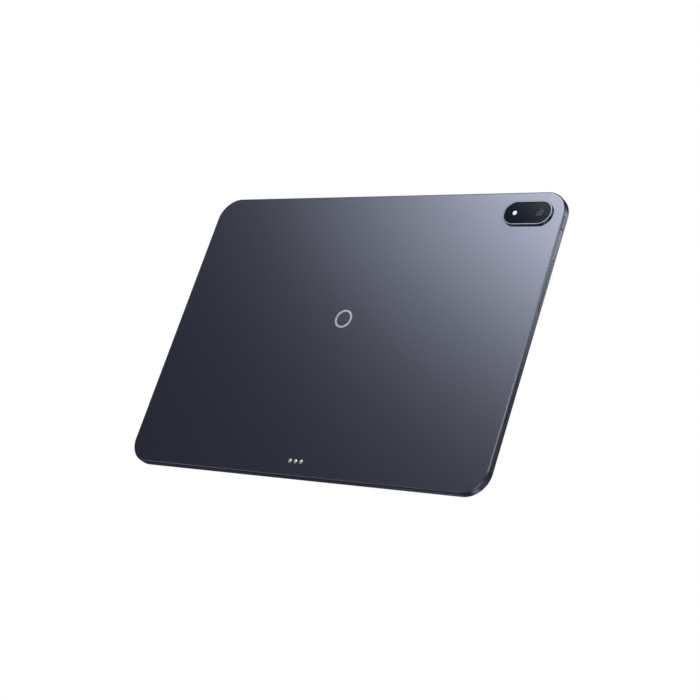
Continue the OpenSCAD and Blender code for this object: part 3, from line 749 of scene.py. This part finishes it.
class Finish(Graph):
    """One material: a Principled surface fed by the shared effects."""

    def __init__(self, name, colour, rough, metal=0.0, **sockets):
        self.material = bpy.data.materials.new(name + "_finish")
        self.material.use_nodes = True
        super().__init__(self.material.node_tree)
        self.surface = self.tree.nodes["Principled BSDF"]
        self.colour, self.rough = (*colour, 1.0), rough
        self.place = self.put("ShaderNodeTexCoord").outputs["Object"]
        self.surface.inputs["Base Color"].default_value = self.colour
        self.surface.inputs["Roughness"].default_value = rough
        self.surface.inputs["Metallic"].default_value = metal
        for socket, value in sockets.items():
            self.surface.inputs[socket.replace("_", " ")].default_value = value
        self.material.diffuse_color = self.colour
        self.height = None

    def use(self, name, inputs):
        """A shared effect, placed with its own values."""
        return self.put("ShaderNodeGroup", {"Vector": self.place, **inputs},
                        node_tree=effects[name]).outputs

    def tone(self, per_metre, amount, colour=None):
        """Slow drifts of tone in the base colour."""
        made = self.use("tone", {"Colour": self.colour if colour is None else colour,
                                 "Per Metre": per_metre, "Amount": amount})
        self.feed(self.surface.inputs["Base Color"], made["Colour"])
        return self

    def grain(self, size, depth, gloss_change):
        """Grain of a size and depth in metres, with a change of gloss."""
        made = self.use("grain", {"Per Metre": 1 / size, "Depth": depth,
                                  "Gloss Change": gloss_change, "Roughness": self.rough})
        self.feed(self.surface.inputs["Roughness"], made["Roughness"])
        return self.raise_by(made["Height"])

    def lines(self, squeeze, depth):
        """Brushed lines; squeeze is how many there are in a metre, each way."""
        return self.raise_by(self.use("lines", {"Squeeze": squeeze, "Depth": depth})["Height"])

    def smears(self, amount):
        """Wiped smears in the gloss."""
        made = self.use("smears", {"Roughness": self.rough, "Amount": amount})
        self.feed(self.surface.inputs["Roughness"], made["Roughness"])
        return self

    def raise_by(self, height):
        """Adds a height in metres to the surface's bump."""
        self.height = height if self.height is None else self.calc("ADD", self.height, height)
        old = [n for n in self.tree.nodes if n.type == "BUMP"]
        bump = old[0] if old else self.put("ShaderNodeBump", {"Strength": 1.0, "Distance": 1.0})
        self.feed(bump.inputs["Height"], self.height)
        self.feed(self.surface.inputs["Normal"], bump.outputs["Normal"])
        return self

    def from_axis(self, centre):
        """Distance in metres from an axis through centre along Y, as a socket."""
        moved = self.put("ShaderNodeMapping", {"Vector": self.place,
                                               "Location": tuple(-c for c in centre)})
        parts = self.put("ShaderNodeSeparateXYZ", {0: moved.outputs["Vector"]}).outputs
        a, b = (self.calc("POWER", parts[k], 2.0) for k in "XZ")
        return self.calc("SQRT", self.calc("ADD", a, b))


def body_finish(name):
    """Blue-grey anodised aluminium, fine blasted."""
    metal = Finish(name, (0.173, 0.187, 0.240), 0.265, 1.0)
    return metal.tone(9, 0.05).grain(0.16 * MM, 0.5e-6, 0.02).material


def window_finish():
    """Black glass with a painted sheen, bare in a collar round the flash.

    A clear coat's weight rises along a slant, from below the flash to above the lens, and paints the
    key light's reflection as a gradient.
    """
    slant, low, high, curve = 1.15, -17 * MM, 24 * MM, 1.8
    collar_in, collar_out = 2.2 * MM, 3.0 * MM
    glass = Finish("window_glass", (0.004, 0.006, 0.011), 0.10, IOR=1.105, Coat_IOR=1.185,
                   Coat_Roughness=0.05, Specular_Tint=(0.0, 0.45, 1.0, 1.0))
    parts = glass.put("ShaderNodeSeparateXYZ", {0: glass.place}).outputs
    slope = glass.calc("MULTIPLY_ADD", parts["Z"], slant, -slant * island.z)
    slope = glass.calc("SUBTRACT", slope, glass.calc("SUBTRACT", parts["X"], island.x))
    painted_sheen_ramp = glass.put("ShaderNodeMapRange", {"Value": slope, "From Min": low,
                                            "From Max": high}).outputs["Result"]
    collar = glass.put("ShaderNodeMapRange", {"Value": glass.from_axis(flash), "To Min": 0.0,
                                              "From Min": collar_in, "From Max": collar_out})
    # Painted sheen: the coat's weight by place paints the key light's reflection, with none in the
    # collar round the flash.
    bloom = glass.calc("MULTIPLY", glass.calc("POWER", painted_sheen_ramp, curve), collar.outputs["Result"])
    glass.feed(glass.surface.inputs["Coat Weight"], bloom)
    return glass.tone(60, 0.2).smears(0.03).material


def lens_finish():
    """Coated optical glass: clear, with a violet bloom that drifts over it."""
    glass = Finish("lens_glass", (0.80, 0.83, 0.95), 0.02, IOR=1.08, Transmission_Weight=1.0,
                   Coat_Weight=0.5, Coat_IOR=1.185, Coat_Roughness=0.05)
    tinted = glass.noise(glass.place, 900.0)
    bloom = glass.put("ShaderNodeMix", {0: tinted, 6: (0.70, 0.74, 0.95, 1),
                                        7: (0.85, 0.80, 0.95, 1)}, data_type="RGBA")
    return glass.tone(300, 0.15, bloom.outputs[2]).smears(0.02).material


def screen_finish():
    """The screen's glass: a black printed border round the dark panel behind it.

    The panel's edge is a rounded rectangle: length(max(|x| - a, 0), max(|z| - b, 0)) - r = 0.
    """
    glass = Finish("cover_glass", (0.004, 0.004, 0.005), 0.02, Specular_IOR_Level=0.55)
    parts = glass.put("ShaderNodeSeparateXYZ", {0: glass.place}).outputs
    panel_half, r, blend = half("display_panel"), 4.0 * MM, 0.1 * MM
    past = [glass.calc("MAXIMUM", glass.calc("SUBTRACT", glass.calc("ABSOLUTE", parts[k]),
                                             getattr(panel_half, k.lower()) - r), 0.0)
            for k in ("X", "Z")]
    away = glass.calc("SQRT", glass.calc("ADD", *(glass.calc("POWER", p, 2.0) for p in past)))
    border = glass.put("ShaderNodeMapRange", {"Value": away, "From Min": r - blend,
                                              "From Max": r + blend}).outputs["Result"]
    shade = glass.put("ShaderNodeMix", {0: border, 6: (0.0105, 0.0110, 0.0130, 1),
                                        7: (0.0030, 0.0030, 0.0034, 1)}, data_type="RGBA")
    return glass.tone(6, 0.15, shade.outputs[2]).smears(0.05).material


def board_finish():
    """Solder resist over copper runs: stepped noise cells raise the runs and lighten them."""
    run_lift = 0.02 * MM
    board = Finish("circuit_board", (0.006, 0.045, 0.028), 0.35)
    cells = board.put("ShaderNodeTexVoronoi", {"Vector": board.place, "Scale": 700.0},
                      feature="DISTANCE_TO_EDGE", distance="EUCLIDEAN").outputs["Distance"]
    runs = board.put("ShaderNodeMapRange", {"Value": cells, "From Min": 0.03, "From Max": 0.06,
                                            "To Min": 1.0, "To Max": 0.0}).outputs["Result"]
    shade = board.put("ShaderNodeMix", {0: runs, 6: board.colour, 7: (0.02, 0.11, 0.06, 1)},
                      data_type="RGBA")
    board.tone(120, 0.2, shade.outputs[2]).grain(0.1 * MM, 1e-6, 0.1)
    return board.raise_by(board.calc("MULTIPLY", runs, run_lift)).material


def mesh_finish():
    """Woven wire over the speakers: sin(ky) sin(kz) lifts the wires and darkens the openings."""
    wire_pitch, wire_lift = 0.22 * MM, 0.04 * MM
    cloth = Finish("mesh_fabric", (0.05, 0.05, 0.055), 0.45, 0.6)
    parts = cloth.put("ShaderNodeSeparateXYZ", {0: cloth.place}).outputs
    turns = 2 * math.pi / wire_pitch
    waves = [cloth.calc("SINE", cloth.calc("MULTIPLY", parts[k], turns)) for k in ("Y", "Z")]
    weave = cloth.calc("MULTIPLY_ADD", cloth.calc("MULTIPLY", *waves), 0.5, 0.5)
    # The openings are painted dark: painted shade in the gaps between the wires.
    shade = cloth.put("ShaderNodeMix", {0: weave, 6: (0.004, 0.004, 0.005, 1),
                                        7: (0.075, 0.075, 0.08, 1)}, data_type="RGBA")
    cloth.tone(300, 0.2, shade.outputs[2])
    return cloth.raise_by(cloth.calc("MULTIPLY", weave, wire_lift)).material


def plain_finish(name, colour, rough, metal=0.0, tone=(60, 0.12), grain=(0.12 * MM, 1.5e-6, 0.08),
                 lines=None, **sockets):
    """A finish from the shared effects alone: drifts of tone, grain and perhaps brushed lines."""
    made = Finish(name, colour, rough, metal, **sockets).tone(*tone).grain(*grain)
    if lines:
        made.lines(*lines)
    return made.material


def all_finishes():
    """Every finish, by the name of its slot."""
    brushed = ((300.0, 9000.0, 9000.0), 1.2e-6)
    made = [
        body_finish("anodised_body"), body_finish("anodised_key"), window_finish(), lens_finish(),
        screen_finish(), board_finish(), mesh_finish(),
        plain_finish("satin_rim", (0.190, 0.206, 0.245), 0.27, 1.0, (20, 0.06),
                     (0.1 * MM, 0.4e-6, 0.03)),
        plain_finish("led_yellow", (0.80, 0.62, 0.12), 0.55, tone=(2000, 0.2)),
        # The flash is unlit; its diffuser's glow is painted light that makes it read white.
        plain_finish("flash_diffuser", (0.90, 0.89, 0.85), 0.35, tone=(500, 0.04),
                     Emission_Color=(1.0, 0.97, 0.9, 1.0), Emission_Strength=0.35),
        plain_finish("polished_inlay", (0.80, 0.82, 0.88), 0.36, 1.0, (90, 0.05),
                     (0.2 * MM, 0.3e-6, 0.03)),
        plain_finish("plated_contact", (0.90, 0.90, 0.92), 0.42, 1.0, (400, 0.1),
                     (0.08 * MM, 0.5e-6, 0.06)),
        plain_finish("black_plastic", (0.012, 0.012, 0.014), 0.45, grain=(0.15 * MM, 4e-6, 0.12)),
        plain_finish("magnet", (0.45, 0.46, 0.48), 0.28, 1.0, lines=brushed),
        plain_finish("flex_film", (0.36, 0.14, 0.03), 0.35, tone=(150, 0.3)),
        plain_finish("pressed_aluminium", (0.50, 0.51, 0.53), 0.38, 1.0, lines=brushed),
        plain_finish("white_film", (0.78, 0.80, 0.82), 0.30, tone=(30, 0.04)),
        plain_finish("panel_glass", (0.010, 0.011, 0.014), 0.06),
        plain_finish("adhesive", (0.02, 0.02, 0.02), 0.80, grain=(0.2 * MM, 2e-5, 0.1)),
        plain_finish("cell_pouch", (0.055, 0.056, 0.060), 0.32, 0.7, (25, 0.25),
                     (1.5 * MM, 2e-5, 0.1)),
        plain_finish("chip", (0.030, 0.030, 0.034), 0.50, grain=(0.08 * MM, 3e-6, 0.1)),
        plain_finish("shield_steel", (0.55, 0.56, 0.58), 0.34, 1.0, lines=brushed),
        plain_finish("graphite", (0.035, 0.036, 0.040), 0.42, 0.4, (80, 0.3)),
        plain_finish("brass_can", (0.60, 0.46, 0.20), 0.30, 1.0, lines=brushed),
        plain_finish("boot_rubber", (0.015, 0.015, 0.015), 0.70, grain=(0.2 * MM, 8e-6, 0.1)),
    ]
    return {m.name.removesuffix("_finish"): m for m in made}


finishes = all_finishes()
for part in frame["record"]["subparts"]:
    for holder in nodes[part["node"]].material_slots:
        holder.material = finishes[part["material_slot"]]


# ---------------------------------------------------------------------------------------------
# Assembly
# ---------------------------------------------------------------------------------------------

def stand_for(piece, slot, body, *cad):
    """A piece rides on its body, takes a slot's finish and hides the CAD nodes it stands for."""
    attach(piece, body)
    piece.data.materials.append(finishes[slot])
    if cad:
        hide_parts(*cad)
    return piece


stand_for(housing(), "anodised_body", "chassis", "rear_housing")
stand_for(camera_rim(), "satin_rim", "chassis", "camera_ring")
stand_for(camera_glass(), "window_glass", "chassis", "camera_window")
stand_for(lens_cover(), "lens_glass", "chassis")
stand_for(front_lens(), "lens_glass", "chassis", "camera_lens")
stand_for(lens_barrel(), "black_plastic", "chassis")
stand_for(flash_cover(), "flash_diffuser", "chassis", "flash_lens")
stand_for(ring_mark(), "polished_inlay", "chassis", "ring_inlay")
stand_for(dock_pins(), "plated_contact", "chassis", "dock_contacts")
stand_for(screen_glass(), "cover_glass", "chassis", "cover_glass")
stand_for(eye_cover(), "lens_glass", "chassis")
stand_for(usb_sleeve(), "shield_steel", "chassis", "usb_shell")
stand_for(usb_pads(), "plated_contact", "chassis")
stand_for(key("power_cap", "power_button", "x"), "anodised_key", "power_key", "power_button")
stand_for(key("volume_up_cap", "volume_up_button", "z"), "anodised_key", "volume_up_key",
          "volume_up_button")
stand_for(key("volume_down_cap", "volume_down_button", "z"), "anodised_key", "volume_down_key",
          "volume_down_button")


# ---------------------------------------------------------------------------------------------
# Studio: camera, lights, surroundings and floor
# ---------------------------------------------------------------------------------------------

def aim(thing, place, target, roll=0.0):
    """Stands a camera or lamp at a place, facing a target, rolled by an angle in degrees."""
    forward = (Vector(target) - Vector(place)).normalized()
    level_right = forward.cross(Vector((0, 0, 1))).normalized()
    level_up = level_right.cross(forward)
    turn = math.radians(roll)
    right = math.cos(turn) * level_right + math.sin(turn) * level_up
    turned = Matrix((right, right.cross(forward), -forward)).transposed()
    thing.matrix_world = Matrix.Translation(Vector(place)) @ turned.to_4x4()
    bpy.context.scene.collection.objects.link(thing)


def from_target(target, distance, azimuth, elevation):
    """The point at a distance from a target; azimuth turns from -Y towards +X."""
    a, e = math.radians(azimuth), math.radians(elevation)
    return Vector(target) + distance * Vector((math.sin(a) * math.cos(e),
                                               -math.cos(a) * math.cos(e), math.sin(e)))


def soft_lamp(name, place, size, radiance, roll=0.0, colour=(1, 1, 1)):
    """A soft lamp that faces the tablet: a disc where size is one number, else a panel.

    Radiance is what it sends out of each square metre of its face.
    """
    disc = len(size) == 1
    lamp = bpy.data.lights.new(name, "AREA")
    lamp.shape = "DISK" if disc else "RECTANGLE"
    lamp.size = size[0]
    lamp.size_y = size[-1]
    area = size[0] * size[-1] * (math.pi / 4 if disc else 1.0)
    lamp.energy = radiance * area * math.pi
    lamp.color = colour
    made = bpy.data.objects.new(name, lamp)
    made.visible_camera = False
    aim(made, place, (0, 0, 0), roll)


def surroundings():
    """White behind everything, and a dim blue-grey room for the light that bounces."""
    world = bpy.data.worlds.new("room")
    world.use_nodes = True
    g = Graph(world.node_tree)
    world.node_tree.nodes.clear()
    seen = g.put("ShaderNodeBackground", {"Color": (1.0, 1.0, 1.0, 1.0), "Strength": 1.0})
    felt = g.put("ShaderNodeBackground", {"Color": (0.068, 0.072, 0.095, 1.0), "Strength": 1.0})
    way = g.put("ShaderNodeLightPath").outputs["Is Camera Ray"]
    both = g.put("ShaderNodeMixShader", {0: way, 1: felt.outputs[0], 2: seen.outputs[0]})
    g.put("ShaderNodeOutputWorld", {"Surface": both.outputs[0]})
    bpy.context.scene.world = world


def floor():
    """A wide pale floor under the tablet, clear when it is looked at from below. Its glow is weaker
    near the tablet, as painted shade.
    """
    level, reach = cad_box[0].z - fit_gap, 60.0
    data = bpy.data.meshes.new("floor")
    data.from_pydata([(-reach, -reach, level), (reach, -reach, level), (reach, reach, level),
                      (-reach, reach, level)], [], [(0, 1, 2, 3)])
    made = bpy.data.objects.new("floor", data)
    bpy.context.scene.collection.objects.link(made)
    made.visible_glossy = False
    made.visible_shadow = False
    pale = bpy.data.materials.new("pale_floor")
    pale.use_nodes = True
    g = Graph(pale.node_tree)
    pale.node_tree.nodes.clear()
    cloth = g.put("ShaderNodeBsdfDiffuse", {"Color": (0.80, 0.80, 0.81, 1.0)})
    place = g.put("ShaderNodeTexCoord").outputs["Object"]
    away = g.put("ShaderNodeVectorMath", {0: place}, operation="LENGTH").outputs["Value"]
    # Painted shade: the glow falls from 1.0 beyond 2.2 m to 0.62 within 0.6 m of the tablet.
    glow_with_painted_shade = g.put("ShaderNodeMapRange", {"Value": away, "From Min": 0.6, "From Max": 2.2,
                                            "To Min": 0.62, "To Max": 1.0}).outputs["Result"]
    glow = g.put("ShaderNodeEmission", {"Color": (1.0, 1.0, 1.0, 1.0), "Strength": glow_with_painted_shade})
    seen = g.put("ShaderNodeLightPath").outputs["Is Camera Ray"]
    lit = g.put("ShaderNodeMixShader", {0: seen, 2: glow.outputs[0]})
    top = g.put("ShaderNodeAddShader", {0: cloth.outputs[0], 1: lit.outputs[0]})
    clear = g.put("ShaderNodeBsdfTransparent")
    under = g.put("ShaderNodeNewGeometry").outputs["Backfacing"]
    both = g.put("ShaderNodeMixShader", {0: under, 1: top.outputs[0], 2: clear.outputs[0]})
    g.put("ShaderNodeOutputMaterial", {"Surface": both.outputs[0]})
    data.materials.append(pale)


aimed_at = (-0.01398, 0.0, -0.01334)
distance, azimuth, elevation, roll = 1.10025, 219.672, -20.1815, 18.495
camera_data = bpy.data.cameras.new("camera")
camera_data.sensor_width = 36.0
camera_data.lens = 86.378
camera_data.clip_start, camera_data.clip_end = 0.05, 50.0
camera = bpy.data.objects.new("camera", camera_data)
aim(camera, from_target(aimed_at, distance, azimuth, elevation), aimed_at, roll)
bpy.context.scene.camera = camera
bpy.context.scene.view_settings.view_transform = "Standard"

surroundings()
floor()
soft_lamp("key light", (0.844, 2.2, 1.796), (1.54,), 3.3)
soft_lamp("middle light", (1.525, 2.0, 1.361), (0.5,), 1.4)
soft_lamp("corner light", (0.98, 2.0, 1.52), (0.5,), 2.3, colour=(1.0, 0.96, 0.62))
soft_lamp("front softbox", (-1.48, -1.48, 1.36), (1.06,), 1.9)
soft_lamp("side softbox", (-1.95, 0.55, 0.87), (1.4, 1.0), 1.1)
soft_lamp("rear fill", (-1.1, 1.7, 0.88), (1.9, 1.1), 1.3)
soft_lamp("kicker", (-0.4, -1.3, -1.05), (0.5, 0.5), 0.8)
soft_lamp("under card", (-0.9, 1.35, -1.1), (1.1, 1.1), 2.0)
soft_lamp("low card", (1.2, 1.5, -0.6), (1.2, 1.0), 0.6)
soft_lamp("end card", (2.5, 0.0, 0.35), (1.2, 1.3), 0.5)
soft_lamp("front wall", (0, -3.2, 0.2), (3.2, 2.4), 0.35)
soft_lamp("screen card", (0.85, -2.6, 0.15), (1.0, 2.2), 0.6, roll=24)
soft_lamp("low screen card", (-1.95, -1.45, -0.85), (1.0, 1.9), 0.45, roll=28)

bpy.context.view_layer.update()
